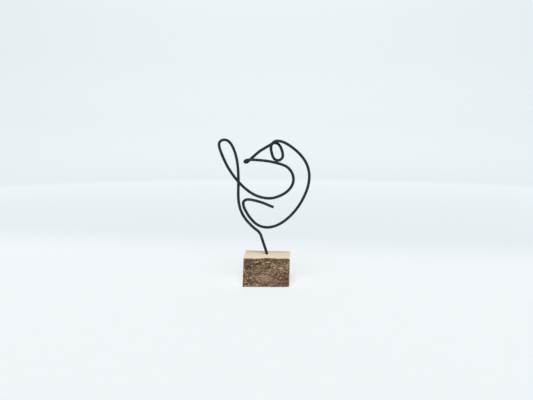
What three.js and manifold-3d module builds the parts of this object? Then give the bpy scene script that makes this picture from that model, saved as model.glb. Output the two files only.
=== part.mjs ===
// A bird drawn with one length of wire, standing in a sawn block that keeps its bark.
// Millimetres, +Z up. The origin is the middle of the block's underside, X runs along the
// bird and the block, and -Y is the front, where the bark is. The bird looks towards -X.

import * as THREE from "three";
import { mergeVertices } from "three/addons/utils/BufferGeometryUtils.js";
import Module from "manifold-3d";

// Wire
const WIRE_DIAMETER = 2.6;        // 10 gauge
const WIRE_SIDES = 12;
const LONGEST_STEP = 5;           // along the wire, between two sections
const SHARPEST_STEP = 10;         // degrees of bend between two sections
const CROSSING_OFFSET = 1.45;     // from the bird's plane to a strand where two strands cross

// Block
const BLOCK_WIDTH = 46.4;
const BLOCK_HEIGHT = 29;
const FRONT_LEFT = -19.2;         // Y of the bark face at the left end, and so on
const FRONT_RIGHT = -18.6;
const BACK_LEFT = 20.6;
const BACK_RIGHT = 17;
const LEFT_END_LEAN = 1.1;        // how far the top edge of an end stands to the right
const RIGHT_END_LEAN = 0.6;
const SOCKET_X = 0.5;
const SOCKET_DEPTH = 12.3;
const SOCKET_GAP = 0.3;           // all round the wire, and under its foot

// Bark
const BARK_COLUMNS = 30;
const BARK_ROWS = 18;
const BARK_THICKNESS = 3;
const PLATE_RELIEF = 0.45;        // half the height of the broad plates
const FLAKE_RELIEF = 0.25;        // half the height of the flakes on them
const ARRIS_STRIP = 1.2;          // bark broken away along the right edge
const ARRIS_LOSS = 1.1;
const CORNER_CHIP_RADIUS = 5;     // and at the lower right corner
const CORNER_CHIP_LOSS = 1.6;

const FRONT_Y = -CROSSING_OFFSET;
const BEHIND_Y = CROSSING_OFFSET;
const FOOT_Z = BLOCK_HEIGHT - SOCKET_DEPTH + SOCKET_GAP;

// The wire's route from its foot in the block to its cut end, as bends set by hand:
// x, y, z, then the heading in the bird's plane in degrees, 0 towards +X and 90 up,
// and where it matters the angle at which the wire climbs out of that plane.
const ROUTE = [
  // leg
  [SOCKET_X, 0, FOOT_Z, 90],
  [0.4, 0, 28.6, 97],
  [-1.9, 0, 37.1, 109],
  [-5.2, 0, 47.3, 108],
  [-8.2, 0, 52.5, 137],
  [-13.5, 0, 56.8, 137],
  // rump and tail, up behind the strand that it crosses
  [-25, 0, 71.8, 114],
  [-28.2, 0.5, 87, 92],
  [-28.1, BEHIND_Y, 103.1, 90],
  [-28.8, 0.7, 119.6, 97],
  [-32.7, 0, 135.4, 113],
  [-41.8, 0, 144, 180],
  [-47, 0, 139.6, 270],
  [-44.2, -0.5, 129.5, 291.5],
  [-36.3, -1, 113.7, 303],
  // breast, across the front of the tail strand
  [-28.2, FRONT_Y, 102.9, 312],
  [-16, -1.2, 91.9, 326],
  [3.2, -0.8, 86, 0],
  [12, -0.8, 88, 21],
  [26.8, -0.8, 105.2, 90],
  [22.9, -0.8, 115, 130],
  // lower line of the head, out to the beak and back
  [10.9, -1, 121, 164.5],
  [-9.9, -1.4, 124.2, 176],
  [-18.6, -1.4, 124.2, 187],
  [-21.55, -0.1, 122.5, 265, 50],
  [-19.2, BEHIND_Y, 122, 36],
  // brow, behind the lower line and behind the eye
  [-14.1, BEHIND_Y, 126.5, 41],
  [-5.9, 1.4, 133.3, 33],
  [2.6, BEHIND_Y, 138.4, 30],
  // eye, one full turn
  [8.6, 1.3, 140.9, 0],
  [14.4, 1, 135.8, 292],
  [16.15, 0.6, 128.6, 270],
  [11.3, 0, 123.8, 180],
  [6.2, -0.8, 127.9, 109],
  [4.45, -1.35, 136.2, 90],
  // crown, over the eye, and back
  [10.8, FRONT_Y, 142.95, 0],
  [23.7, -0.8, 137.8, 325],
  [36.6, -0.3, 125.6, 306],
  [42.5, 0, 107.7, 270],
  [36.4, 0, 85.7, 243],
  [25.2, 0, 69.7, 226],
  // belly and flank
  [12, 0, 59.5, 207],
  [0.6, 0, 56.6, 180],
  [-12.1, 0, 61.5, 137],
  [-19.6, 0, 71, 119],
  // folded wing
  [-23.3, 0, 80.8, 90],
  [-18.6, 0, 84.7, 0],
  [-9, 0, 83, 345],
  [0, 0, 79.9, 337],
  [7.2, 0, 76.85, 337],
];

function bend([x, y, z, heading, climb = 0]) {
  const turn = THREE.MathUtils.degToRad(heading);
  const rise = THREE.MathUtils.degToRad(climb);
  const flat = Math.cos(rise);
  return {
    place: new THREE.Vector3(x, y, z),
    along: new THREE.Vector3(Math.cos(turn) * flat, Math.sin(rise), Math.sin(turn) * flat),
  };
}

// A curve between two bends, with the handles that an arc of the same turn would have.
function span(from, to) {
  const turn = from.along.angleTo(to.along);
  const reach = from.place.distanceTo(to.place) / (3 * Math.cos(turn / 4) ** 2);
  return new THREE.CubicBezierCurve3(
    from.place,
    from.place.clone().addScaledVector(from.along, reach),
    to.place.clone().addScaledVector(to.along, -reach),
    to.place,
  );
}

// The route as one curve whose parameter runs faster on straight stretches than in bends,
// so that even steps of it follow the tight turns closely.
class WireRoute extends THREE.Curve {
  constructor(route) {
    super();
    const bends = route.map(bend);
    this.stations = [];
    for (let i = 1; i < bends.length; i += 1) {
      const curve = span(bends[i - 1], bends[i]);
      const turn = THREE.MathUtils.radToDeg(bends[i - 1].along.angleTo(bends[i].along));
      const steps = Math.ceil(Math.max(curve.getLength() / LONGEST_STEP, turn / SHARPEST_STEP));
      for (let step = 0; step < steps; step += 1) {
        this.stations.push({ curve, from: step / steps, to: (step + 1) / steps });
      }
    }
  }

  getPoint(t, target = new THREE.Vector3()) {
    const count = this.stations.length;
    const place = THREE.MathUtils.clamp(t, 0, 1) * count;
    const index = Math.min(Math.floor(place), count - 1);
    const { curve, from, to } = this.stations[index];
    return curve.getPoint(THREE.MathUtils.lerp(from, to, place - index), target);
  }

  getUtoTmapping(u) {
    return u;
  }
}

function wireBird() {
  const route = new WireRoute(ROUTE);
  // a section with the area of the round wire
  const step = (2 * Math.PI) / WIRE_SIDES;
  const radius = (WIRE_DIAMETER / 2) * Math.sqrt(step / Math.sin(step));
  const section = new THREE.Shape().absarc(0, 0, radius, 0, 2 * Math.PI);
  return new THREE.ExtrudeGeometry(section, {
    extrudePath: route,
    steps: route.stations.length,
    curveSegments: WIRE_SIDES / 2,
  });
}

// How far the bark stands out at x, z: long plates along the grain, with flakes on them.
function barkRelief(x, z) {
  const plates = Math.sin(x * 0.31 + 1.7 * Math.sin(z * 0.23)) * Math.sin(z * 0.52 + x * 0.06);
  const flakes = Math.sin(x * 1.23 + z * 0.7) * Math.cos(z * 1.61 - x * 0.34);
  return PLATE_RELIEF * plates + FLAKE_RELIEF * flakes;
}

// How far the bark is broken back at x, z, towards the right edge and its lower corner.
function barkLoss(x, z) {
  const fromEdge = BLOCK_WIDTH / 2 - x;
  const strip = THREE.MathUtils.clamp(1 - fromEdge / ARRIS_STRIP, 0, 1);
  const fromCorner = Math.hypot(fromEdge, z) / CORNER_CHIP_RADIUS;
  const chip = THREE.MathUtils.clamp(1 - fromCorner, 0, 1);
  return Math.max(ARRIS_LOSS * strip, CORNER_CHIP_LOSS * chip);
}

// The block starts as a unit box, and each of its corners is moved to its own place.
function sawnBlock() {
  const box = new THREE.BoxGeometry(1, 1, 1, BARK_COLUMNS, 2, BARK_ROWS);
  const places = box.getAttribute("position");
  for (let i = 0; i < places.count; i += 1) {
    const across = places.getX(i) + 0.5;
    const back = places.getY(i) + 0.5;
    const up = places.getZ(i) + 0.5;
    const x = (across - 0.5) * BLOCK_WIDTH;
    const z = up * BLOCK_HEIGHT;
    const lean = THREE.MathUtils.lerp(LEFT_END_LEAN, RIGHT_END_LEAN, across) * up;
    const front = THREE.MathUtils.lerp(FRONT_LEFT, FRONT_RIGHT, across);
    const rear = THREE.MathUtils.lerp(BACK_LEFT, BACK_RIGHT, across);
    let y = rear;
    if (back === 0) y = front - barkRelief(x, z) + barkLoss(x, z);
    else if (back < 1) y = front + BARK_THICKNESS;
    places.setXYZ(i, x + lean, y, z);
  }
  return box;
}

function socket() {
  const reach = SOCKET_DEPTH + 5;
  const bore = new THREE.CylinderGeometry(
    WIRE_DIAMETER / 2 + SOCKET_GAP, WIRE_DIAMETER / 2 + SOCKET_GAP, reach, 24,
  );
  bore.rotateX(Math.PI / 2);
  bore.translate(SOCKET_X, 0, BLOCK_HEIGHT - SOCKET_DEPTH + reach / 2);
  return bore;
}

const wasm = await Module();
wasm.setup();

function solid(geometry) {
  const bare = geometry.clone();
  bare.deleteAttribute("normal");
  bare.deleteAttribute("uv");
  const merged = mergeVertices(bare, 1e-5);
  return new wasm.Manifold(new wasm.Mesh({
    numProp: 3,
    vertProperties: new Float32Array(merged.getAttribute("position").array),
    triVerts: new Uint32Array(merged.getIndex().array),
  }));
}

function geometryOf(body) {
  const mesh = body.getMesh();
  const geometry = new THREE.BufferGeometry();
  geometry.setAttribute("position", new THREE.BufferAttribute(mesh.vertProperties, 3));
  geometry.setIndex(new THREE.BufferAttribute(mesh.triVerts, 1));
  geometry.computeVertexNormals();
  return geometry;
}

function woodBlock() {
  return geometryOf(solid(sawnBlock()).subtract(solid(socket())));
}

const blackWire = new THREE.MeshStandardMaterial({ color: 0x262b2c, roughness: 0.45, metalness: 0.3 });
const paleWood = new THREE.MeshStandardMaterial({ color: 0xdcc7a6, roughness: 0.75, metalness: 0 });

const bird = new THREE.Mesh(wireBird(), blackWire);
bird.name = "wire_bird";

const block = new THREE.Mesh(woodBlock(), paleWood);
block.name = "wood_block";

const sculpture = new THREE.Group();
sculpture.add(block, bird);

export default sculpture;
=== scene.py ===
"""A bird drawn with one length of black wire, in a small sawn block that keeps its bark."""

import math

import bpy
from bpy.props import FloatProperty, FloatVectorProperty, PointerProperty
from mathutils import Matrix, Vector, noise


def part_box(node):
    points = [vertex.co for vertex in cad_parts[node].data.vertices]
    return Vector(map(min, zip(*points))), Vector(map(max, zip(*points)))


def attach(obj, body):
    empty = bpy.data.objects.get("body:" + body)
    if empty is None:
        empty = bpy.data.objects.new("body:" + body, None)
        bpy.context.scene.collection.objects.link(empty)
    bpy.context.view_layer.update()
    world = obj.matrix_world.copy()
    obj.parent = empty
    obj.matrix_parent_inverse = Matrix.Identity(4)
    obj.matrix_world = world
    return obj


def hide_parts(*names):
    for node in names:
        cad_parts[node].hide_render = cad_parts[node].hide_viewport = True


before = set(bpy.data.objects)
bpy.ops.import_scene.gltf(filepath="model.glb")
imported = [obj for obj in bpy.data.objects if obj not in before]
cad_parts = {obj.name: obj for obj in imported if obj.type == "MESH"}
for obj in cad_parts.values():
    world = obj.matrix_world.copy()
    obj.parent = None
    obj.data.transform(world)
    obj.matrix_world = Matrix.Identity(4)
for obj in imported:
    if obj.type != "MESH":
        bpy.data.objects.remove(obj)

bl_info = {
    "name": "Wire Bird on a Bark Block",
    "version": (1, 0, 0),
    "blender": (4, 5, 0),
    "location": "View3D > Sidebar > Wire Bird",
    "description": "Bends a wire bird, saws and drills its block, and lays the bark on its front",
    "category": "Add Mesh",
}

MM = 0.001

# Block, as in the solid model, in metres. A front or back is a Y at the left or right end,
# and a lean is how far the top edge of an end stands to the right.
BLOCK_WIDTH = 46.4 * MM
BLOCK_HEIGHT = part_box("wood_block")[1].z
FRONT_LEFT = -19.2 * MM
FRONT_RIGHT = -18.6 * MM
BACK_LEFT = 20.6 * MM
BACK_RIGHT = 17 * MM
LEFT_END_LEAN = 1.1 * MM
RIGHT_END_LEAN = 0.6 * MM
SOCKET_X = 0.5 * MM
SOCKET_DEPTH = 12.3 * MM
SOCKET_GAP = 0.3 * MM
SOCKET_RADIUS = 1.3 * MM + SOCKET_GAP
SOCKET_SIDES = 48
DRILL_OVERSHOOT = 5 * MM
SAW_SLAB = 1 * MM             # thickness of the sheet that is stretched into the block
BLOCK_CUTS = 59
FINE_RADIUS = 4.5 * MM        # of the finer faces round the socket
FINE_CUTS = 3
END_FACING = 0.6              # a face that looks further sideways than this is end grain

# Strands lie this far in front of the bird's plane and behind it where they cross, in mm
FRONT_Y = -1.45
BEHIND_Y = 1.45

# The wire's route from its foot in the block to its cut end, in mm: x, y, z, then the
# heading in the bird's plane in degrees, 0 towards +X and 90 up, and where it matters the
# angle at which the wire climbs out of that plane.
ROUTE = (
    # leg
    (0.5, 0, 17, 90),
    (0.4, 0, 28.6, 97),
    (-1.9, 0, 37.1, 109),
    (-5.2, 0, 47.3, 108),
    (-8.2, 0, 52.5, 137),
    (-13.5, 0, 56.8, 137),
    # rump and tail, up behind the strand that it crosses
    (-25, 0, 71.8, 114),
    (-28.2, 0.5, 87, 92),
    (-28.1, BEHIND_Y, 103.1, 90),
    (-28.8, 0.7, 119.6, 97),
    (-32.7, 0, 135.4, 113),
    (-41.8, 0, 144, 180),
    (-47, 0, 139.6, 270),
    (-44.2, -0.5, 129.5, 291.5),
    (-36.3, -1, 113.7, 303),
    # breast, across the front of the tail strand
    (-28.2, FRONT_Y, 102.9, 312),
    (-16, -1.2, 91.9, 326),
    (3.2, -0.8, 86, 0),
    (12, -0.8, 88, 21),
    (26.8, -0.8, 105.2, 90),
    (22.9, -0.8, 115, 130),
    # lower line of the head, out to the beak and back
    (10.9, -1, 121, 164.5),
    (-9.9, -1.4, 124.2, 176),
    (-18.6, -1.4, 124.2, 187),
    (-21.55, -0.1, 122.5, 265, 50),
    (-19.2, BEHIND_Y, 122, 36),
    # brow, behind the lower line and behind the eye
    (-14.1, BEHIND_Y, 126.5, 41),
    (-5.9, 1.4, 133.3, 33),
    (2.6, BEHIND_Y, 138.4, 30),
    # eye, one full turn
    (8.6, 1.3, 140.9, 0),
    (14.4, 1, 135.8, 292),
    (16.15, 0.6, 128.6, 270),
    (11.3, 0, 123.8, 180),
    (6.2, -0.8, 127.9, 109),
    (4.45, -1.35, 136.2, 90),
    # crown, over the eye, and back
    (10.8, FRONT_Y, 142.95, 0),
    (23.7, -0.8, 137.8, 325),
    (36.6, -0.3, 125.6, 306),
    (42.5, 0, 107.7, 270),
    (36.4, 0, 85.7, 243),
    (25.2, 0, 69.7, 226),
    # belly and flank
    (12, 0, 59.5, 207),
    (0.6, 0, 56.6, 180),
    (-12.1, 0, 61.5, 137),
    (-19.6, 0, 71, 119),
    # folded wing
    (-23.3, 0, 80.8, 90),
    (-18.6, 0, 84.7, 0),
    (-9, 0, 83, 345),
    (0, 0, 79.9, 337),
    (7.2, 0, 76.85, 337),
)
WIRE_POINTS_PER_BEND = 20
WIRE_BEVEL_ROUNDS = 10
WIRE_DENT = 0.03              # part of the radius
WIRE_DENT_LENGTH = 2.2 * MM
NIP_LENGTH = 0.9 * MM         # of the cut end that the pliers have pinched
NIP_ACROSS = 0.45
NIP_ROUND = 0.16
WIRE_END_SOFTENING = 0.3 * MM

# Bark, in mm: the broad relief as in the solid model
PLATE_RELIEF = 0.45
FLAKE_RELIEF = 0.25
ARRIS_STRIP = 1.2
ARRIS_LOSS = 1.1
CORNER_CHIP_RADIUS = 5
CORNER_CHIP_LOSS = 1.6
UPPER_CHIP_RADIUS = 3
UPPER_CHIP_LOSS = 0.8

# Bark, in mm: its mesh and its edges
BARK_COLUMNS = 280
BARK_ROWS = 176
RIM_ROWS = 6
THINNEST_BARK = 0.6
DEEPEST_HOLLOW = 1.05
BARK_OVERLAP = 0.15           # into the wood behind it
EDGE_FALL = 0.45              # how far the face rolls back
EDGE_BAND = 0.9               # and over how wide a band
RIM_BAND = 1.4                # over which the saw has crumbled the edge
CRUMBLE = 0.16
CRUMBLE_SWING = 0.22
CRUMBLE_SIZE = 1.3
LEAST_CRUMBLE = 0.04
RIM_TAPER = 0.12
TOP_SINK = 0.26
CORNER_SINK = 0.5
CORNER_SPAN = 4
RIGHT_STRIP = 0.45            # of bare wood along the right edge
ROUND_CORNER = 1.6
SWELL_X = 0.3                 # where along the top edge the bark is thickest and whole
SWELL_REACH = 4.5

# Scales of the bark in mm: length, height, and which layer of the pattern they are on
PLATES = (7.5, 4.6, 0.3)
FLAKES = (2.5, 1.6, 4.3)
CRUMBS = (1.25, 0.95, 9.3)
# and for each how far they step and tilt, and how deep and wide the seams round them are
PLATE_RISE = (0.30, 0.16, 0.30, 0.16)
FLAKE_RISE = (0.36, 0.24, 0.26, 0.22)
CRUMB_RISE = (0.34, 0.16, 0.20, 0.25)
GRIT_RISE = 0.10
HOLLOW_DEPTH = 0.85
CHIP_RISE = 0.30


def turned(spots):
    """The spots with the cosine and sine of their slopes instead of degrees."""
    return [
        (x, z, 2 / length, 2 / height, math.cos(math.radians(slope)), math.sin(math.radians(slope)))
        for x, z, length, height, slope in spots
    ]


# Places on the bark in mm: x, z, length, height, slope in degrees
PALE_CHIPS = turned((
    (-9.5, 25.2, 5.4, 1.5, 17),
    (1.2, 24.8, 5.2, 2.0, 18),
    (-3.0, 23.4, 2.6, 1.7, 30),
    (7.4, 22.0, 2.2, 1.4, 10),
    (8.0, 19.4, 2.0, 2.2, 50),
    (14.2, 19.2, 4.4, 2.0, 8),
    (15.0, 21.6, 1.6, 1.6, 0),
    (20.4, 22.4, 5.4, 1.3, 22),
    (-22.3, 17.5, 1.9, 2.4, 60),
    (-3.2, 17.6, 1.5, 1.8, 80),
    (11.6, 13.4, 1.8, 1.8, 20),
    (-18.4, 8.8, 1.7, 1.3, 30),
    (-20.4, 1.4, 3.4, 1.3, 5),
    (2.5, 0.8, 3.4, 1.0, 0),
))
HOLLOWS = turned((
    (-9.0, 22.9, 6.4, 2.2, 5),
    (-18.0, 6.6, 2.6, 2.4, 20),
    (20.0, 8.2, 3.4, 4.4, 60),
    (10.0, 11.8, 1.6, 2.4, 75),
    (9.8, 1.7, 2.4, 1.5, 0),
    (-16.6, 20.0, 4.4, 1.6, 120),
    (-0.5, 28.0, 4.6, 1.6, 0),
))
SMOOTH_PLATES = turned((
    (-16.4, 26.0, 12.0, 6.6, -8),
    (18.0, 26.6, 11.0, 4.4, -4),
    (18.6, 3.6, 8.6, 4.4, 0),
))
# Broader regions, and plates whose outer layers are worn off
DARK_REGIONS = turned((
    (-17.5, 21.5, 17.0, 13.0, -20),
    (18.5, 7.0, 15.0, 15.0, 0),
    (0.5, 27.0, 20.0, 5.0, 0),
    (-23.2, 11.0, 4.0, 26.0, 0),
    (23.0, 20.0, 2.5, 22.0, 0),
))
PALE_REGIONS = turned((
    (0.0, 12.0, 30.0, 17.0, 8),
    (10.0, 19.0, 18.0, 9.0, 0),
))
WORN_PLATES = turned((
    (-0.8, 8.8, 14.0, 8.0, 12),
    (2.4, 16.2, 6.0, 6.6, 70),
    (-8.4, 17.6, 7.6, 4.4, 24),
))

# What each vertex of the bark says to its material
BARK_LOOKS = ("tone", "crevice", "chip", "still", "worn", "rim")

# Colours of the bark beside those that its settings hold
RUST = (0.26, 0.128, 0.066)
OLIVE = (0.31, 0.24, 0.15)
# Darkens the seams and hollows: partly their own dark colour, partly painted shade
SEAM_DARK_AND_SHADE = (0.052, 0.038, 0.027)
PLUM_STOPS = (
    (0.3, (0.062, 0.038, 0.03)), (0.5, (0.116, 0.074, 0.055)), (0.75, (0.215, 0.15, 0.11)),
)
SECTION_STOPS = (
    (0.0, (0.08, 0.05, 0.034)), (0.45, (0.16, 0.085, 0.05)), (0.8, (0.30, 0.17, 0.09)),
    (0.95, (0.46, 0.31, 0.17)),
)

# Wood, in mm: the pith's distance behind the bark, the years, and the saw's marks
PITH_DISTANCE = 78
PITH_Y = PITH_DISTANCE - 19
RING_SPACING = 1.9
RING_DRIFT = 2.2
KERF_PITCH = 2.6
KERF_DEPTH = 0.05
SAW_CENTRE_Y = -60
SAW_CENTRE_Z = 140
FRAY_REACH = 2.2              # of the torn fibres round the socket
FRAY_LIFT = 0.55

# Camera
CAMERA_DISTANCE = 595 * MM
CAMERA_HEIGHT = 152 * MM
CAMERA_AZIMUTH = math.radians(1.6)
CAMERA_PITCH = math.radians(6.5)
CAMERA_LENS = 40.5

# Painted shade and light on the paper: how its tone falls and rises again up its wall, by height in
# metres
SWEEP_PAINTED_SHADING = (
    (0, (0.96, 0.96, 0.96)), (0.006, (0.85, 0.85, 0.85)), (0.19, (0.82, 0.82, 0.82)),
    (0.43, (0.88, 0.872, 0.872)), (0.64, (1.0, 0.972, 0.985)),
)
# The paper sweep is a round dish that the sculpture stands in, in metres
DISH_RADIUS = 1.9
DISH_CENTRE_Y = -0.1
DISH_HEIGHT = 0.95
DISH_CURVE = 0.6
DISH_SIDES = 128
# The paper turns from its near colour to its far colour, which is painted shade, between these two
# places, and this much sooner on the right
DISTANCE_BAND = (0.10, 0.31)
DISTANCE_SLANT = 0.16

# Heights of the two lamps above the horizon and how wide they look from the sculpture, in degrees
KEY_ELEVATION = 55
KEY_SPREAD = 35
FILL_ELEVATION = 45
FILL_SPREAD = 90


class WireSettings(bpy.types.PropertyGroup):
    """The wire and its paint."""

    diameter: FloatProperty(
        name="Diameter", description="Thickness of the wire", default=2.6 * MM,
        min=1 * MM, max=4 * MM, precision=5, unit="LENGTH",
    )
    coat: FloatProperty(
        name="Coat", description="Thickness of the black coating on the wire", default=0.1 * MM,
        min=0, max=0.2 * MM, precision=6, unit="LENGTH",
    )
    paint: FloatVectorProperty(
        name="Paint", description="Colour of the satin coating on the wire",
        default=(0.0155, 0.0215, 0.0225), min=0, max=1, subtype="COLOR",
    )
    roughness: FloatProperty(
        name="Roughness", description="How matt the paint is",
        default=0.48, min=0, max=1, subtype="FACTOR",
    )


class WoodSettings(bpy.types.PropertyGroup):
    """The sawn block."""

    arris: FloatProperty(
        name="Arris", description="Width of the softened edges", default=0.45 * MM,
        min=0.1 * MM, max=1 * MM, precision=5, unit="LENGTH",
    )
    sapwood: FloatVectorProperty(
        name="Sapwood", description="Colour of the wood just under the bark",
        default=(0.86, 0.745, 0.55), min=0, max=1, subtype="COLOR",
    )
    heartwood: FloatVectorProperty(
        name="Heartwood", description="Colour of the wood at the back of the block",
        default=(0.765, 0.59, 0.40), min=0, max=1, subtype="COLOR",
    )
    latewood: FloatVectorProperty(
        name="Latewood", description="Colour of the dark line that ends each year's ring",
        default=(0.64, 0.44, 0.25), min=0, max=1, subtype="COLOR",
    )


class BarkSettings(bpy.types.PropertyGroup):
    """The bark on the front of the block."""

    thickness: FloatProperty(
        name="Thickness", description="From the face of the bark to the wood", default=2.2 * MM,
        min=1 * MM, max=3 * MM, precision=5, unit="LENGTH",
    )
    relief: FloatProperty(
        name="Relief", description="How high the scales stand, against the usual height",
        default=1, min=0, max=2, subtype="FACTOR",
    )
    scales: FloatVectorProperty(
        name="Scales", description="Middle colour of the bark's scales",
        default=(0.245, 0.160, 0.096), min=0, max=1, subtype="COLOR",
    )
    chips: FloatVectorProperty(
        name="Chips", description="Colour of the freshly broken spots",
        default=(0.58, 0.43, 0.26), min=0, max=1, subtype="COLOR",
    )


class StageSettings(bpy.types.PropertyGroup):
    """The studio round the sculpture."""

    paper: FloatVectorProperty(
        name="Paper", description="Colour of the floor and the backdrop",
        default=(0.912, 0.952, 0.975), min=0, max=1, subtype="COLOR",
    )
    # Painted shade: the far paper is given this darker colour in place of the shade that falls on
    # it
    distance: FloatVectorProperty(
        name="Distance", description="Colour of the paper behind the sculpture",
        default=(0.785, 0.845, 0.862), min=0, max=1, subtype="COLOR",
    )
    # Painted light: the paper gives off this share of its own brightness by itself, so shadows on
    # it come out weaker; no lamp shines through it
    painted_glow: FloatProperty(
        name="Glow", description="Share of the paper's light that comes through it from behind",
        default=0.48, min=0, max=1, subtype="FACTOR",
    )
    sky: FloatVectorProperty(
        name="Room", description="Colour of the soft light from all round",
        default=(0.83, 0.86, 0.875), min=0, max=1, subtype="COLOR",
    )
    room: FloatProperty(
        name="Room Strength", description="Strength of the light from all round", default=0.12,
        min=0, max=2,
    )
    key: FloatProperty(
        name="Key Strength", description="Strength of the wide soft lamp in front and above",
        default=2.5, min=0, max=10,
    )
    fill: FloatProperty(
        name="Fill Strength", description="Strength of the low lamp in front", default=0.6,
        min=0, max=10,
    )


# ---------------------------------------------------------------- shader maths


class Signal:
    """An output of a material's nodes. Maths on it adds the Math nodes."""

    def __init__(self, finish, socket):
        self.finish = finish
        self.socket = socket

    def math(self, operation, *others):
        return self.finish.math(operation, self, *others)

    def __add__(self, other):
        return self.math("ADD", other)

    __radd__ = __add__

    def __sub__(self, other):
        return self.math("SUBTRACT", other)

    def __rsub__(self, other):
        return self.finish.math("SUBTRACT", other, self)

    def __mul__(self, other):
        return self.math("MULTIPLY", other)

    __rmul__ = __mul__

    def __truediv__(self, other):
        return self.math("DIVIDE", other)

    def __rtruediv__(self, other):
        return self.finish.math("DIVIDE", other, self)

    def part(self, axis):
        """X, Y or Z of a vector."""
        parts = self.finish.node("ShaderNodeSeparateXYZ", {}, {"Vector": self}, None)
        return Signal(self.finish, parts.outputs[axis])

    def between(self, low, high):
        """0 at low and 1 at high, eased at both ends. High may be the smaller."""
        return self.finish.node(
            "ShaderNodeMapRange", {"interpolation_type": "SMOOTHSTEP"},
            {"Value": self, "From Min": low, "From Max": high},
        )


class Finish:
    """A material made of nodes, whose shader is there from the start."""

    def __init__(self, name):
        self.material = bpy.data.materials.new(name)
        self.material.use_nodes = True
        self.tree = self.material.node_tree
        self.shader = self.tree.nodes["Principled BSDF"]

    def node(self, kind, settings, inputs, output=0):
        """Adds a node, sets its settings and then its sockets. Returns one output, or the node."""
        made = self.tree.nodes.new(kind)
        for name, value in settings.items():
            if name == "stops":
                ramp = made.color_ramp
                while len(ramp.elements) < len(value):
                    ramp.elements.new(1)
                for element, (place, colour) in zip(ramp.elements, value):
                    element.position = place
                    element.color = (*colour, 1)
            else:
                setattr(made, name, value)
        for name, value in inputs.items():
            self.feed(made.inputs[name], value)
        return made if output is None else Signal(self, made.outputs[output])

    def feed(self, socket, value):
        if isinstance(value, Signal):
            self.tree.links.new(value.socket, socket)
        elif socket.type == "RGBA" and len(value) == 3:
            socket.default_value = (*value, 1)
        else:
            socket.default_value = value

    def math(self, operation, *values):
        return self.node("ShaderNodeMath", {"operation": operation}, dict(enumerate(values)))

    def surface(self, **inputs):
        """Sets the shader's own sockets, by name with _ for a space."""
        for name, value in inputs.items():
            self.feed(self.shader.inputs[name.replace("_", " ")], value)

    def place(self, scale=(1, 1, 1), turn=(0, 0, 0)):
        """Object coordinates, turned and scaled."""
        where = self.node("ShaderNodeTexCoord", {}, {}, "Object")
        return self.node(
            "ShaderNodeMapping", {},
            {"Vector": where, "Rotation": turn, "Scale": scale},
        )

    def attribute(self, name, output="Fac"):
        return self.node("ShaderNodeAttribute", {"attribute_name": name}, {}, output)

    def noise(self, vector, scale=1.0, detail=3.0, roughness=0.5):
        return self.node(
            "ShaderNodeTexNoise", {},
            {"Vector": vector, "Scale": scale, "Detail": detail, "Roughness": roughness},
        )

    def ramp(self, factor, *stops):
        return self.node("ShaderNodeValToRGB", {"stops": stops}, {"Fac": factor}, "Color")

    def mix(self, factor, a, b, blend="MIX"):
        """Colour b over colour a."""
        return self.node(
            "ShaderNodeMix", {"data_type": "RGBA", "blend_type": blend},
            {0: factor, 6: a, 7: b}, 2,
        )

    def bump(self, height, distance, strength):
        """Low relief as high as the distance in metres."""
        return self.node(
            "ShaderNodeBump", {}, {"Height": height, "Distance": distance, "Strength": strength},
            "Normal",
        )


def tinted(colour, factor):
    """A colour made darker or lighter."""
    return tuple(min(1, part * factor) for part in colour)


# ---------------------------------------------------------------- hand tools


def deselect_all():
    bpy.ops.object.select_all(action="DESELECT")


def activate(piece):
    deselect_all()
    piece.select_set(True)
    bpy.context.view_layer.objects.active = piece


def select_faces(piece, wanted):
    """Selects a piece's faces that pass a test, in edit mode."""
    bpy.ops.object.mode_set(mode="EDIT")
    bpy.ops.mesh.select_mode(type="FACE")
    bpy.ops.mesh.select_all(action="DESELECT")
    bpy.ops.object.mode_set(mode="OBJECT")
    for face in piece.data.polygons:
        face.select = wanted(face)
    bpy.ops.object.mode_set(mode="EDIT")


def shift_corners(piece, wanted, by):
    """Moves a piece's vertices that pass a test, in edit mode."""
    bpy.ops.object.mode_set(mode="EDIT")
    bpy.ops.mesh.select_mode(type="VERT")
    bpy.ops.mesh.select_all(action="DESELECT")
    bpy.ops.object.mode_set(mode="OBJECT")
    for vertex in piece.data.vertices:
        vertex.select = wanted(vertex.co)
    bpy.ops.object.mode_set(mode="EDIT")
    bpy.ops.transform.translate(value=by)
    bpy.ops.object.mode_set(mode="OBJECT")


def apply_place(piece):
    activate(piece)
    bpy.ops.object.transform_apply(location=True, rotation=True, scale=True)


def apply_modifier(piece, kind, **settings):
    activate(piece)
    modifier = piece.modifiers.new(kind.title(), kind)
    for name, value in settings.items():
        setattr(modifier, name, value)
    bpy.ops.object.modifier_apply(modifier=modifier.name)


def smooth(piece, angle=40):
    activate(piece)
    bpy.ops.object.shade_smooth_by_angle(angle=math.radians(angle))


def write_attribute(piece, name, values):
    layer = piece.data.attributes.new(name, "FLOAT", "POINT")
    layer.data.foreach_set("value", values)


def finish_piece(piece, name, slot, node, *finishes):
    """Names a piece, gives it its materials, and ties it to the solid that it stands for."""
    piece.name = name
    piece.data.name = name
    piece.data.materials.clear()
    for finish in finishes:
        piece.data.materials.append(finish.material)
    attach(piece, "root")
    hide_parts(node)
    return piece


def lerp(a, b, t):
    return a + (b - a) * t


def clamp(value, low=0.0, high=1.0):
    return max(low, min(high, value))


def ease(low, high, value):
    t = clamp((value - low) / (high - low))
    return t * t * (3 - 2 * t)


# ---------------------------------------------------------------- wire


def bend(x, y, z, heading, climb=0):
    """A bend's place in metres and the way that the wire runs through it."""
    turn, rise = math.radians(heading), math.radians(climb)
    along = Vector(
        (math.cos(turn) * math.cos(rise), math.sin(rise), math.sin(turn) * math.cos(rise))
    )
    return Vector((x, y, z)) * MM, along


def reach(here, there):
    """Length of a curve's handles between two bends, as on an arc of the same turn."""
    turn = here[1].angle(there[1])
    return (there[0] - here[0]).length / (3 * math.cos(turn / 4) ** 2)


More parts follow.
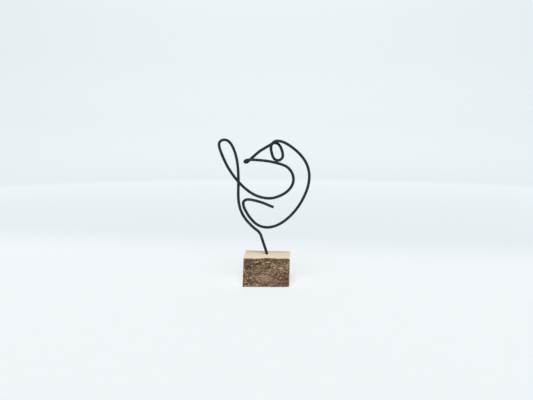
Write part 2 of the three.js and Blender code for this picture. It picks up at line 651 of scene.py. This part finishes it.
def painted_wire(settings):
    """Satin black paint: faint drawing lines along the wire, a little wear and small specks."""
    finish = Finish("satin black wire")
    straight = finish.attribute("straightened", "Vector")
    lines = finish.noise(
        finish.node("ShaderNodeVectorMath", {"operation": "MULTIPLY"},
                    {0: straight, 1: (60, 2600, 2600)}),
        detail=2.0,
    )
    clouds = finish.noise(straight, scale=260, detail=4.0, roughness=0.6)
    specks = finish.noise(straight, scale=2400, detail=2.0)
    worn = clouds.between(0.62, 0.78) * lines.between(0.45, 0.7)
    colour = finish.mix(clouds.between(0.35, 0.7), tinted(settings.paint, 0.75),
                        tinted(settings.paint, 1.45))
    colour = finish.mix(worn * 0.35, colour, (0.055, 0.062, 0.062))
    roughness = settings.roughness + (clouds - 0.5) * 0.22 + (specks - 0.5) * 0.08
    relief = lines * 0.5 + specks * 0.35 + clouds
    finish.surface(
        Base_Color=colour, Roughness=roughness, Metallic=0.0, Specular_IOR_Level=0.14,
        Normal=finish.bump(relief, 0.00003, 0.6),
    )
    return finish


def straighten(wire, sides):
    """Gives each vertex its place on the wire if that were pulled straight along X."""
    vertices = wire.data.vertices
    rings = len(vertices) // sides
    places, along, before = [], 0.0, None
    for ring in range(rings):
        loop = [vertices[ring * sides + side].co for side in range(sides)]
        middle = sum(loop, Vector()) / sides
        along += (middle - before).length if before else 0
        before = middle
        for side, place in enumerate(loop):
            angle = 2 * math.pi * side / sides
            radius = (place - middle).length
            places += (along, radius * math.cos(angle), radius * math.sin(angle))
    layer = wire.data.attributes.new("straightened", "FLOAT_VECTOR", "POINT")
    layer.data.foreach_set("vector", places)


def dress_wire(wire, sides):
    """Hand-bent wire isn't quite round or smooth: dents it slightly, and nips its cut end."""
    vertices = wire.data.vertices
    rings = len(vertices) // sides
    end = sum((v.co for v in vertices[-sides:]), Vector()) / sides
    for ring in range(rings):
        loop = vertices[ring * sides:(ring + 1) * sides]
        middle = sum((v.co for v in loop), Vector()) / sides
        near_end = ring > rings - 3 * WIRE_POINTS_PER_BEND
        pinch = clamp(1 - (end - middle).length / NIP_LENGTH) ** 2 if near_end else 0
        for vertex in loop:
            out = vertex.co - middle
            out *= 1 + WIRE_DENT * noise.noise(vertex.co / WIRE_DENT_LENGTH)
            out.y *= 1 - NIP_ACROSS * pinch
            out *= 1 - NIP_ROUND * pinch
            vertex.co = middle + out


def make_wire(settings):
    deselect_all()
    bpy.ops.curve.primitive_bezier_curve_add()
    wire = bpy.context.object
    curve = wire.data
    bends = [bend(*stop) for stop in ROUTE]
    points = curve.splines[0].bezier_points
    points.add(len(bends) - len(points))
    for i, (point, (place, along)) in enumerate(zip(points, bends)):
        point.handle_left_type = point.handle_right_type = "FREE"
        before = reach(bends[i - 1], bends[i]) if i else 1 * MM
        after = reach(bends[i], bends[i + 1]) if i + 1 < len(bends) else 1 * MM
        point.co = place
        point.handle_left = place - along * before
        point.handle_right = place + along * after
    curve.dimensions = "3D"
    curve.resolution_u = WIRE_POINTS_PER_BEND
    curve.bevel_depth = settings.diameter / 2 + settings.coat
    curve.bevel_resolution = WIRE_BEVEL_ROUNDS
    bpy.ops.object.convert(target="MESH")
    wire = bpy.context.object
    sides = 4 + 2 * WIRE_BEVEL_ROUNDS
    dress_wire(wire, sides)
    straighten(wire, sides)
    # close both ends, with a soft edge on each
    bpy.ops.object.mode_set(mode="EDIT")
    bpy.ops.mesh.select_mode(type="EDGE")
    bpy.ops.mesh.select_all(action="DESELECT")
    bpy.ops.mesh.select_non_manifold(
        extend=False, use_wire=False, use_multi_face=False, use_non_contiguous=False,
        use_verts=False,
    )
    bpy.ops.mesh.edge_face_add()
    bpy.ops.mesh.bevel(offset=WIRE_END_SOFTENING, segments=3, affect="EDGES")
    bpy.ops.mesh.select_all(action="SELECT")
    bpy.ops.mesh.normals_make_consistent(inside=False)
    bpy.ops.object.mode_set(mode="OBJECT")
    apply_place(wire)
    smooth(wire, 50)
    return finish_piece(wire, "bent_wire", "black_wire", "wire_bird", painted_wire(settings))


# ---------------------------------------------------------------- block


def front_plane(across):
    """Where the block's front is, from 0 at the left end to 1 at the right."""
    return lerp(FRONT_LEFT, FRONT_RIGHT, across)


def bark_depth(x, z, thickness):
    """How deep the bark is at x, z: the line where it meets the wood wanders."""
    wander = noise.noise(Vector((x / (9 * MM), z / (14 * MM), 3.1)))
    ripple = noise.noise(Vector((x / (2.4 * MM), z / (4 * MM), 8.7)))
    thinned = 0.5 * ease(BLOCK_HEIGHT - 5 * MM, BLOCK_HEIGHT, z) * (1 - swell(x))
    return thickness * (1 + 0.22 * wander + 0.07 * ripple - thinned)


def swell(x):
    """1 in the middle of the top edge, where the bark is thickest and whole, 0 away from it."""
    return math.exp(-((x / MM - SWELL_X) / SWELL_REACH) ** 2)


def year_rings(finish):
    """How far in from the bark the wood is, its dark lines, and its age, for both cuts of it."""
    where = finish.place()
    drift = finish.noise(finish.place(scale=(22, 60, 60)), detail=2.0)
    depth = where.part("Y") - PITH_Y * MM
    height = where.part("Z") - BLOCK_HEIGHT / 2
    radius = (depth * depth + height * height).math("SQRT") + (drift - 0.5) * (RING_DRIFT * MM)
    inward = PITH_DISTANCE * MM - radius
    ring = (inward / (RING_SPACING * MM)).math("FRACT")
    late = ring.between(0.0, 0.10) * ring.between(0.55, 0.12)
    width = finish.noise(finish.place(scale=(6, 150, 150)), detail=1.0)
    late = late * width.between(0.25, 0.75)
    age = inward.between(0.002, 0.040)
    return inward, late, age


def long_grain(settings):
    """Wood along the grain: fine fibres along X, a faint line for each year, soft specks."""
    finish = Finish("sawn wood along the grain")
    _, late, age = year_rings(finish)
    fibres = finish.noise(finish.place(scale=(90, 2300, 2300)), detail=3.0, roughness=0.65)
    streaks = finish.noise(finish.place(scale=(26, 620, 620)), detail=3.0)
    bloom = finish.noise(finish.place(scale=(45, 80, 80)), detail=3.0)
    pores = finish.noise(finish.place(scale=(260, 3600, 3600)), detail=1.0).between(0.66, 0.74)
    colour = finish.mix(age, settings.sapwood, settings.heartwood)
    colour = finish.mix(late * 0.42, colour, settings.latewood)
    for mask, tint in (
        (fibres.between(0.35, 0.75) * 0.30, tinted(settings.heartwood, 0.86)),
        (streaks.between(0.5, 0.8) * 0.35, tinted(settings.sapwood, 1.12)),
        (bloom.between(0.55, 0.8) * 0.25, tinted(settings.heartwood, 0.9)),
        (pores * 0.4, tinted(settings.latewood, 0.7)),
        (finish.attribute("torn") * 0.8, tinted(settings.sapwood, 1.1)),
    ):
        colour = finish.mix(mask, colour, tint)
    relief = fibres * 0.6 + late * 0.5 - pores * 0.8
    finish.surface(
        Base_Color=colour, Roughness=0.72 + (fibres - 0.5) * 0.2, Specular_IOR_Level=0.3,
        Normal=finish.bump(relief, 0.00006, 0.7),
    )
    return finish


def end_grain(settings):
    """Wood across the grain: arcs for the years, pale rays across them, saw scratches."""
    finish = Finish("sawn end grain")
    inward, late, age = year_rings(finish)
    x, y, z = (finish.place().part(axis) for axis in "XYZ")
    angle = (z - BLOCK_HEIGHT / 2).math("ARCTAN2", y - PITH_Y * MM)
    fan = finish.node(
        "ShaderNodeCombineXYZ", {}, {"X": angle * 420, "Y": inward * 160, "Z": x * 10},
    )
    rays = finish.noise(fan, detail=2.0)
    pores = finish.noise(finish.place(scale=(60, 2600, 2600)), detail=2.0, roughness=0.7)
    scratches = finish.noise(
        finish.place(scale=(20, 260, 4200), turn=(math.radians(14), 0, 0)), detail=2.0,
    )
    colour = finish.mix(age, tinted(settings.sapwood, 0.86), tinted(settings.heartwood, 0.84))
    for mask, tint in (
        (late * 0.75, tinted(settings.latewood, 0.85)),
        (pores.between(0.42, 0.72) * 0.45, settings.latewood),
        (rays.between(0.58, 0.74) * 0.4, settings.sapwood),
        (scratches.between(0.55, 0.75) * 0.25, tinted(settings.heartwood, 1.2)),
    ):
        colour = finish.mix(mask, colour, tint)
    relief = pores * 0.5 + scratches * 0.8 - late * 0.3
    finish.surface(
        Base_Color=colour, Roughness=0.85 + (pores - 0.5) * 0.15, Specular_IOR_Level=0.2,
        Normal=finish.bump(relief, 0.00010, 0.8),
    )
    return finish


def weather_block(block):
    """Saw ridges on the ends, and slight unevenness all over."""
    half = BLOCK_WIDTH / 2
    facings = [vertex.normal.copy() for vertex in block.data.vertices]
    for vertex, facing in zip(block.data.vertices, facings):
        x, y, z = vertex.co
        at_end = abs(x) > half - 1.2 * MM and abs(facing.x) > 0.9
        if at_end:
            sweep = math.hypot(y - SAW_CENTRE_Y * MM, z - SAW_CENTRE_Z * MM)
            ridge = KERF_DEPTH * math.sin(2 * math.pi * sweep / (KERF_PITCH * MM))
            ridge += 0.05 * noise.noise(Vector((y / (3 * MM), z / (3 * MM), x)))
            vertex.co.x += math.copysign(ridge * MM, x)
        elif facing.z > 0.9:
            wave = noise.noise(Vector((x / (16 * MM), y / (3.5 * MM), 1.7)))
            vertex.co.z -= (0.05 + 0.05 * wave) * MM
        elif facing.y > 0.9:
            wave = noise.noise(Vector((x / (14 * MM), 4.2, z / (2.5 * MM))))
            vertex.co.y -= (0.06 + 0.06 * wave) * MM


def make_block(settings, bark):
    deselect_all()
    bpy.ops.mesh.primitive_cube_add(size=1, location=(0, 0, BLOCK_HEIGHT / 2))
    block = bpy.context.object
    block.scale = (BLOCK_WIDTH, SAW_SLAB, BLOCK_HEIGHT)
    apply_place(block)
    # saw it to its shape, corner by corner
    skin = SAW_SLAB / 2
    shift_corners(block, lambda p: p.x < 0 and p.y < 0, (0, FRONT_LEFT + skin, 0))
    shift_corners(block, lambda p: p.x > 0 and p.y < 0, (0, FRONT_RIGHT + skin, 0))
    shift_corners(block, lambda p: p.x < 0 and p.y > 0, (0, BACK_LEFT - skin, 0))
    shift_corners(block, lambda p: p.x > 0 and p.y > 0, (0, BACK_RIGHT - skin, 0))
    half = BLOCK_HEIGHT / 2
    shift_corners(block, lambda p: p.x < 0 and p.z > half, (LEFT_END_LEAN, 0, 0))
    shift_corners(block, lambda p: p.x > 0 and p.z > half, (RIGHT_END_LEAN, 0, 0))
    bpy.ops.object.mode_set(mode="EDIT")
    bpy.ops.mesh.select_all(action="SELECT")
    bpy.ops.mesh.subdivide(number_cuts=BLOCK_CUTS)
    bpy.ops.object.mode_set(mode="OBJECT")
    # the front follows the line where the bark meets the wood
    for vertex in block.data.vertices:
        across = vertex.co.x / BLOCK_WIDTH + 0.5
        back = 1 - (vertex.co.y - front_plane(across)) / (BACK_RIGHT - FRONT_RIGHT)
        vertex.co.y += clamp(back) * bark_depth(vertex.co.x, vertex.co.z, bark.thickness)
    # finer faces round the socket
    select_faces(
        block,
        lambda face: face.center.z > BLOCK_HEIGHT - 0.1 * MM
        and math.hypot(face.center.x - SOCKET_X, face.center.y) < FINE_RADIUS,
    )
    bpy.ops.mesh.subdivide(number_cuts=FINE_CUTS)
    bpy.ops.object.mode_set(mode="OBJECT")
    weather_block(block)
    apply_modifier(block, "BEVEL", width=settings.arris, segments=3,
                   limit_method="ANGLE", angle_limit=math.radians(50))
    drill_socket(block)
    # the ends are cut across the grain
    for face in block.data.polygons:
        face.material_index = int(abs(face.normal.x) > END_FACING)
    smooth(block, 35)
    return finish_piece(block, "sawn_block", "block_wood", "wood_block",
                        long_grain(settings), end_grain(settings))


def drill_socket(block):
    """Drills the hole that the wire stands in, and lifts torn fibres round its mouth."""
    length = SOCKET_DEPTH + DRILL_OVERSHOOT
    deselect_all()
    bpy.ops.mesh.primitive_cylinder_add(
        vertices=SOCKET_SIDES, radius=SOCKET_RADIUS, depth=length,
        location=(SOCKET_X, 0, BLOCK_HEIGHT - SOCKET_DEPTH + length / 2),
    )
    drill = bpy.context.object
    apply_place(drill)
    apply_modifier(block, "BOOLEAN", object=drill, operation="DIFFERENCE", solver="EXACT")
    bpy.data.objects.remove(drill)
    torn = []
    for vertex in block.data.vertices:
        x, y, z = vertex.co
        away = math.hypot(x - SOCKET_X, 1.25 * y) - SOCKET_RADIUS
        at_top = z > BLOCK_HEIGHT - 0.3 * MM
        near = ease(FRAY_REACH * MM, 0, away) if at_top else 0
        frayed = 0.5 + 0.5 * noise.noise(Vector((x / (0.9 * MM), y / (0.45 * MM), 5.5)))
        front = 0.5 + 0.5 * clamp(-y / (2 * MM), -1, 1)
        lift = near * frayed * (0.35 + 0.65 * front)
        vertex.co.z += FRAY_LIFT * lift * MM
        torn.append(clamp(1.6 * near * (0.4 + 0.6 * front)))
    write_attribute(block, "torn", torn)


# ---------------------------------------------------------------- bark


def shuffled(place):
    """A steady random number from 0 to 1 that belongs to a place."""
    return math.sin(place.x * 127.1 + place.y * 311.7 + place.z * 74.7) * 43758.5453 % 1


def scale_at(x, z, length, height, layer):
    """The bark scale at x, z among scales about that long and high, in mm.

    Returns its random number, how far x, z is inside its edge, and where that is from its
    middle."""
    here = Vector((x / length, z / height, layer))
    distances, middles = noise.voronoi(here)
    offset = here - middles[0]
    return shuffled(middles[0]), distances[1] - distances[0], offset


def scale_rise(number, inside, place, step, tilt, seam, width):
    """How high a scale stands at a place on it, in mm."""
    return step * (number - 0.5) + tilt * place.y - seam * (1 - ease(0, width, inside))


def patch(x, z, spots, ragged):
    """1 in the middle of the nearest of some spots, and less than 0 outside its ragged rim."""
    nearest = 2.0
    for cx, cz, along, across, cosine, sine in spots:
        dx, dz = x - cx, z - cz
        nearest = min(nearest, math.hypot((dx * cosine + dz * sine) * along,
                                          (dz * cosine - dx * sine) * across))
    return 1 - nearest + ragged


def bark_at(x, z):
    """The bark at x, z in mm: how high it stands, and its looks there."""
    warp = Vector((x / 2.6, z / 2.2, 0.4))
    wx = x + 1.1 * noise.noise(warp)
    wz = z + 1.0 * noise.noise(warp + Vector((5.2, 1.3, 2.8)))
    ragged = 0.35 * noise.noise(Vector((x / 0.9, z / 0.8, 7.7)))
    broad = math.sin(x * 0.31 + 1.7 * math.sin(z * 0.23)) * math.sin(z * 0.52 + x * 0.06)
    small = math.sin(x * 1.23 + z * 0.7) * math.cos(z * 1.61 - x * 0.34)
    base = PLATE_RELIEF * broad + 0.5 * FLAKE_RELIEF * small

    plate, plate_in, plate_at = scale_at(wx, wz, *PLATES)
    flake, flake_in, flake_at = scale_at(wx, wz, *FLAKES)
    crumb, crumb_in, crumb_at = scale_at(x + 0.5 * ragged, z + 0.3 * ragged, *CRUMBS)
    still = ease(0, 0.35, patch(x, z, SMOOTH_PLATES, ragged))
    worn = ease(0, 0.4, patch(x, z, WORN_PLATES, ragged))
    torn = 0.75 * noise.noise(Vector((x / 0.75, z / 0.55, 6.1))) - 0.1
    chip = ease(0.0, 0.45, patch(x, z, PALE_CHIPS, torn + 0.5 * ragged))
    hollow = ease(0, 0.5, patch(x, z, HOLLOWS, ragged))
    lively = (1 - 0.7 * still) * (1 - 0.4 * worn)

    step, tilt, seam, width = PLATE_RISE
    height = base + scale_rise(
        plate, plate_in, plate_at, step, tilt * (1 - still), seam * (1 - 0.7 * still), width,
    )
    height += lively * scale_rise(flake, flake_in, flake_at, *FLAKE_RISE)
    height += lively * scale_rise(crumb, crumb_in, crumb_at, *CRUMB_RISE)
    grit = noise.noise(Vector((x / 0.55, z / 0.4, 2.2)))
    height += GRIT_RISE * grit * (0.4 + 0.6 * lively)
    height += chip * (CHIP_RISE + 0.10 * ragged) - HOLLOW_DEPTH * hollow

    # Dark seams and painted shade: the sunk seams between scales and the hollows are darkened in
    # colour as well
    seam = 1 - ease(0, 0.16, min(flake_in, 1.3 * plate_in))
    crevice = clamp(lively * (0.6 * seam + 0.25 * (1 - ease(0, 0.25, crumb_in))))
    crevice = max(crevice, 0.85 * hollow) * (1 - chip)
    # paler or darker from scale to scale, and from one part of the face to another
    tone = 0.5 + 0.12 * (plate - 0.5) + lively * (0.26 * (flake - 0.5) + 0.5 * (crumb - 0.5))
    tone += 0.35 * noise.noise(Vector((x / 0.62, z / 0.5, 11.9)))
    tone += 0.10 * ease(0, 0.8, patch(x, z, PALE_REGIONS, ragged))
    tone -= 0.13 * ease(0, 0.8, patch(x, z, DARK_REGIONS, ragged))
    # Painted shade: the hollows are darkened in colour as well as sunk
    tone *= 1 - 0.7 * hollow
    return height, tone, crevice, chip, still, worn


def bark_loss(x, z):
    """How far the bark is broken back, towards the right edge and its lower corner, in mm."""
    from_edge = BLOCK_WIDTH / MM / 2 - x
    strip = clamp(1 - from_edge / ARRIS_STRIP)
    chipped = clamp(1 - math.hypot(from_edge, z) / CORNER_CHIP_RADIUS)
    upper = clamp(1 - math.hypot(from_edge, BLOCK_HEIGHT / MM - z) / UPPER_CHIP_RADIUS)
    return max(ARRIS_LOSS * strip, CORNER_CHIP_LOSS * chipped, UPPER_CHIP_LOSS * upper)


def crumbled(x, z):
    """How far the saw has crumbled the bark's edge near x, z, in metres."""
    wander = noise.noise(Vector((x / (CRUMBLE_SIZE * MM), z / (CRUMBLE_SIZE * MM), 0)))
    return max(LEAST_CRUMBLE, CRUMBLE + CRUMBLE_SWING * wander) * MM


def round_corner(x, z):
    """The bark's right corners are worn round. All in metres."""
    radius = ROUND_CORNER * MM
    dx = x - (BLOCK_WIDTH / 2 - RIGHT_STRIP * MM - radius)
    low, high = radius - z, z - (BLOCK_HEIGHT - radius)
    dz = max(low, high)
    if dx <= 0 or dz <= 0:
        return x, z
    squeeze = max(dx, dz) / math.hypot(dx, dz) - 1
    return x + dx * squeeze, z + (dz if high > low else -dz) * squeeze


def bark_finish(settings):
    """Scaly bark: a tone for each scale, dark seams and hollows that also carry painted shade,
    ochre breaks, plum and olive plates.
    """
    finish = Finish("scaly bark")
    tone, crevice, chip, still, worn, rim = (finish.attribute(name) for name in BARK_LOOKS)
    where = finish.place()
    grain = finish.noise(where, scale=1500, detail=4.0, roughness=0.7)
    dust = finish.noise(where, scale=520, detail=3.0, roughness=0.6)
    grit = finish.noise(finish.place(scale=(800, 800, 1150)), detail=2.0)
    clouds = finish.noise(finish.place(scale=(70, 70, 100)), detail=3.0)
    fibres = finish.noise(finish.place(scale=(300, 2600, 2600)), detail=3.0)
    mid = settings.scales
    mottled = tone + (grain - 0.5) * 0.6 + (dust - 0.5) * 0.35 + (grit - 0.5) * 0.55
    colour = finish.ramp(
        mottled,
        (0.20, tinted(mid, 0.26)), (0.38, tinted(mid, 0.62)), (0.52, mid),
        (0.66, (0.37, 0.262, 0.165)), (0.82, (0.56, 0.41, 0.265)),
    )
    broken = finish.mix(
        fibres.between(0.35, 0.7), tinted(settings.chips, 0.7), tinted(settings.chips, 1.2),
    )
    section = finish.ramp(rim + (dust - 0.5) * 0.25, *SECTION_STOPS)
    for mask, tint in (
        (clouds.between(0.5, 0.7) * 0.5, RUST),
        (worn * 0.5, OLIVE),
        (still * 0.75, finish.ramp(mottled, *PLUM_STOPS)),
        # painted shade, with the seams' own dark colour, in the seams and hollows
        (crevice * 0.7, SEAM_DARK_AND_SHADE),
        (chip, broken),
        (rim.between(0.03, 0.1), section),
    ):
        colour = finish.mix(mask, colour, tint)
    relief = grain * 0.7 + dust * 0.6 + fibres * chip * 0.4
    finish.surface(
        Base_Color=colour, Roughness=0.86 + (dust - 0.5) * 0.2, Specular_IOR_Level=0.1,
        Normal=finish.bump(relief, 0.00014, 0.9),
    )
    return finish


def make_bark(settings):
    deselect_all()
    bpy.ops.mesh.primitive_grid_add(
        x_subdivisions=BARK_COLUMNS, y_subdivisions=BARK_ROWS, size=1,
        location=(0, 0, BLOCK_HEIGHT / 2), rotation=(math.pi / 2, 0, 0),
    )
    bark = bpy.context.object
    bark.scale = (BLOCK_WIDTH, BLOCK_HEIGHT, 1)
    apply_place(bark)
    bpy.ops.object.mode_set(mode="EDIT")
    bpy.ops.mesh.select_all(action="SELECT")
    bpy.ops.mesh.region_to_loop()
    for _ in range(RIM_ROWS):
        bpy.ops.mesh.extrude_edges_move(TRANSFORM_OT_translate={"value": (0, 1 * MM, 0)})
    bpy.ops.mesh.edge_face_add()
    bpy.ops.object.mode_set(mode="OBJECT")
    looks = {name: [] for name in BARK_LOOKS}
    for vertex in bark.data.vertices:
        x, z = vertex.co.x, vertex.co.z
        rim = clamp(vertex.co.y / (RIM_ROWS * MM))
        across = x / BLOCK_WIDTH + 0.5
        height, tone, crevice, chip, still, worn = bark_at(x / MM, z / MM)
        relief = (height * settings.relief - bark_loss(x / MM, z / MM)) * MM
        to_side = min(x + BLOCK_WIDTH / 2, BLOCK_WIDTH / 2 - x)
        to_top, to_foot = BLOCK_HEIGHT - z, z
        near = min(to_side, to_top, to_foot)
        relief -= EDGE_FALL * MM * (1 - ease(0, EDGE_BAND * MM, near)) ** 2
        relief = max(relief, -DEEPEST_HOLLOW * MM)
        back = front_plane(across) + bark_depth(x, z, settings.thickness) + BARK_OVERLAP * MM
        face = min(front_plane(across) - relief, back - THINNEST_BARK * MM)
        crumble = crumbled(x, z)
        to_corner = ease(BLOCK_WIDTH / 2 - CORNER_SPAN * MM, BLOCK_WIDTH / 2, x)
        sunk = crumble + (TOP_SINK * (1 - 1.2 * swell(x)) + CORNER_SINK * to_corner) * MM
        side = crumble + RIM_TAPER * MM * rim + (RIGHT_STRIP * MM if x > 0 else 0)
        band = RIM_BAND * MM
        new_x = x - math.copysign(side, x) * (1 - ease(0, band, to_side))
        new_z = z - sunk * (1 - ease(0, band, to_top)) + crumble * (1 - ease(0, band, to_foot))
        new_x, new_z = round_corner(new_x, new_z)
        lean = lerp(LEFT_END_LEAN, RIGHT_END_LEAN, across) * z / BLOCK_HEIGHT
        vertex.co = (new_x + lean, lerp(face, back, rim), new_z)
        for name, value in zip(looks, (tone, crevice, chip, still, worn, rim)):
            looks[name].append(value)
    for name, values in looks.items():
        write_attribute(bark, name, values)
    bark.data.update()
    smooth(bark, 55)
    return finish_piece(bark, "bark", "block_wood", "wood_block", bark_finish(settings))


# ---------------------------------------------------------------- stage


def hang_lamp(name, elevation, spread, strength):
    """A wide soft lamp in front of the sculpture."""
    bpy.ops.object.light_add(
        type="SUN", location=(0, -1, 1), rotation=(math.radians(90 - elevation), 0, 0),
    )
    lamp = bpy.context.object
    lamp.name = name
    lamp.data.angle = math.radians(spread)
    lamp.data.energy = strength


def make_stage(settings):
    scene = bpy.context.scene
    scene.view_settings.view_transform = "Standard"
    deselect_all()
    # a round floor whose rim is turned up into a low wall
    bpy.ops.mesh.primitive_circle_add(
        vertices=DISH_SIDES, radius=DISH_RADIUS, fill_type="NGON", location=(0, DISH_CENTRE_Y, 0),
    )
    sweep = bpy.context.object
    apply_place(sweep)
    bpy.ops.object.mode_set(mode="EDIT")
    bpy.ops.mesh.select_mode(type="EDGE")
    bpy.ops.mesh.select_all(action="SELECT")
    bpy.ops.mesh.region_to_loop()
    bpy.ops.mesh.extrude_edges_move(TRANSFORM_OT_translate={"value": (0, 0, DISH_HEIGHT)})
    bpy.ops.mesh.select_all(action="DESELECT")
    bpy.ops.object.mode_set(mode="OBJECT")
    for edge in sweep.data.edges:
        edge.select = all(sweep.data.vertices[i].co.z < 0.1 for i in edge.vertices)
    bpy.ops.object.mode_set(mode="EDIT")
    bpy.ops.mesh.bevel(offset=DISH_CURVE, segments=24, affect="EDGES")
    bpy.ops.mesh.select_all(action="SELECT")
    bpy.ops.mesh.normals_make_consistent(inside=False)
    bpy.ops.mesh.flip_normals()
    bpy.ops.object.mode_set(mode="OBJECT")
    smooth(sweep, 60)
    sweep.name = "paper_sweep"
    paper = Finish("pale paper")
    where = paper.place()
    tooth = paper.noise(where, scale=900, detail=2.0)
    # Painted shade: the paper darkens towards the back
    further = where.part("Y") + where.part("X") * DISTANCE_SLANT
    colour = paper.mix(further.between(*DISTANCE_BAND), settings.paper, settings.distance)
    # Painted shade and light: the paper is darkened and lightened by height up its wall
    painted_shading = paper.ramp(where.part("Z"), *SWEEP_PAINTED_SHADING)
    colour = paper.mix(1.0, colour, painted_shading, "MULTIPLY")
    colour = paper.mix(tooth * 0.5, colour, tinted(settings.paper, 0.99))
    # Painted light: the paper glows with its own colour and reflects only the rest, which weakens
    # the shadows on it
    shade = 1 - settings.painted_glow
    paper.surface(
        Base_Color=paper.mix(1.0, colour, (shade, shade, shade), "MULTIPLY"), Roughness=0.95,
        Specular_IOR_Level=0.1, Emission_Color=colour, Emission_Strength=settings.painted_glow,
        Normal=paper.bump(tooth, 0.00002, 0.2),
    )
    sweep.data.materials.append(paper.material)

    world = bpy.data.worlds.new("soft room")
    world.use_nodes = True
    sky = world.node_tree.nodes["Background"]
    sky.inputs["Strength"].default_value = settings.room
    sky.inputs["Color"].default_value = (*settings.sky, 1)
    scene.world = world
    hang_lamp("key_lamp", KEY_ELEVATION, KEY_SPREAD, settings.key)
    hang_lamp("fill_lamp", FILL_ELEVATION, FILL_SPREAD, settings.fill)

    bpy.ops.object.camera_add(
        location=(CAMERA_DISTANCE * math.sin(CAMERA_AZIMUTH),
                  -CAMERA_DISTANCE * math.cos(CAMERA_AZIMUTH), CAMERA_HEIGHT),
        rotation=(math.pi / 2 - CAMERA_PITCH, 0, CAMERA_AZIMUTH),
    )
    camera = bpy.context.object
    camera.name = "front_camera"
    camera.data.lens = CAMERA_LENS
    camera.data.sensor_width = 36
    camera.data.clip_start = 0.01
    scene.camera = camera


# ---------------------------------------------------------------- operators and panel


class WIREBIRD_OT_stage(bpy.types.Operator):
    """Set up the paper sweep, the lights and the camera"""

    bl_idname = "wirebird.stage"
    bl_label = "Set the Stage"

    def execute(self, context):
        make_stage(context.scene.wirebird_stage)
        return {"FINISHED"}


class WIREBIRD_OT_wire(bpy.types.Operator):
    """Bend the bird from one length of wire"""

    bl_idname = "wirebird.wire"
    bl_label = "Bend the Wire"

    def execute(self, context):
        make_wire(context.scene.wirebird_wire)
        return {"FINISHED"}


class WIREBIRD_OT_block(bpy.types.Operator):
    """Saw and drill the block"""

    bl_idname = "wirebird.block"
    bl_label = "Saw the Block"

    def execute(self, context):
        make_block(context.scene.wirebird_wood, context.scene.wirebird_bark)
        return {"FINISHED"}


class WIREBIRD_OT_bark(bpy.types.Operator):
    """Lay the bark on the front of the block"""

    bl_idname = "wirebird.bark"
    bl_label = "Lay the Bark"

    def execute(self, context):
        make_bark(context.scene.wirebird_bark)
        return {"FINISHED"}


class WIREBIRD_PT_panel(bpy.types.Panel):
    """The steps that make the sculpture, and their sizes and colours."""

    bl_idname = "WIREBIRD_PT_panel"
    bl_label = "Wire Bird"
    bl_space_type = "VIEW_3D"
    bl_region_type = "UI"
    bl_category = "Wire Bird"

    def draw(self, context):
        for operator, settings in STEPS:
            box = self.layout.box()
            group = getattr(context.scene, settings)
            for name in group.__annotations__:
                box.prop(group, name)
            box.operator(operator.bl_idname)


SETTINGS = {
    "wirebird_stage": StageSettings,
    "wirebird_wire": WireSettings,
    "wirebird_wood": WoodSettings,
    "wirebird_bark": BarkSettings,
}
STEPS = (
    (WIREBIRD_OT_stage, "wirebird_stage"),
    (WIREBIRD_OT_wire, "wirebird_wire"),
    (WIREBIRD_OT_block, "wirebird_wood"),
    (WIREBIRD_OT_bark, "wirebird_bark"),
)


def register():
    for name, group in SETTINGS.items():
        bpy.utils.register_class(group)
        setattr(bpy.types.Scene, name, PointerProperty(type=group))
    for operator, _ in STEPS:
        bpy.utils.register_class(operator)
    bpy.utils.register_class(WIREBIRD_PT_panel)


def unregister():
    bpy.utils.unregister_class(WIREBIRD_PT_panel)
    for operator, _ in reversed(STEPS):
        bpy.utils.unregister_class(operator)
    for name, group in reversed(SETTINGS.items()):
        delattr(bpy.types.Scene, name)
        bpy.utils.unregister_class(group)


def main():
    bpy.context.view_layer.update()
    register()
    bpy.ops.wirebird.stage()
    bpy.ops.wirebird.wire()
    bpy.ops.wirebird.block()
    bpy.ops.wirebird.bark()


if __name__ == "__main__":
    main()
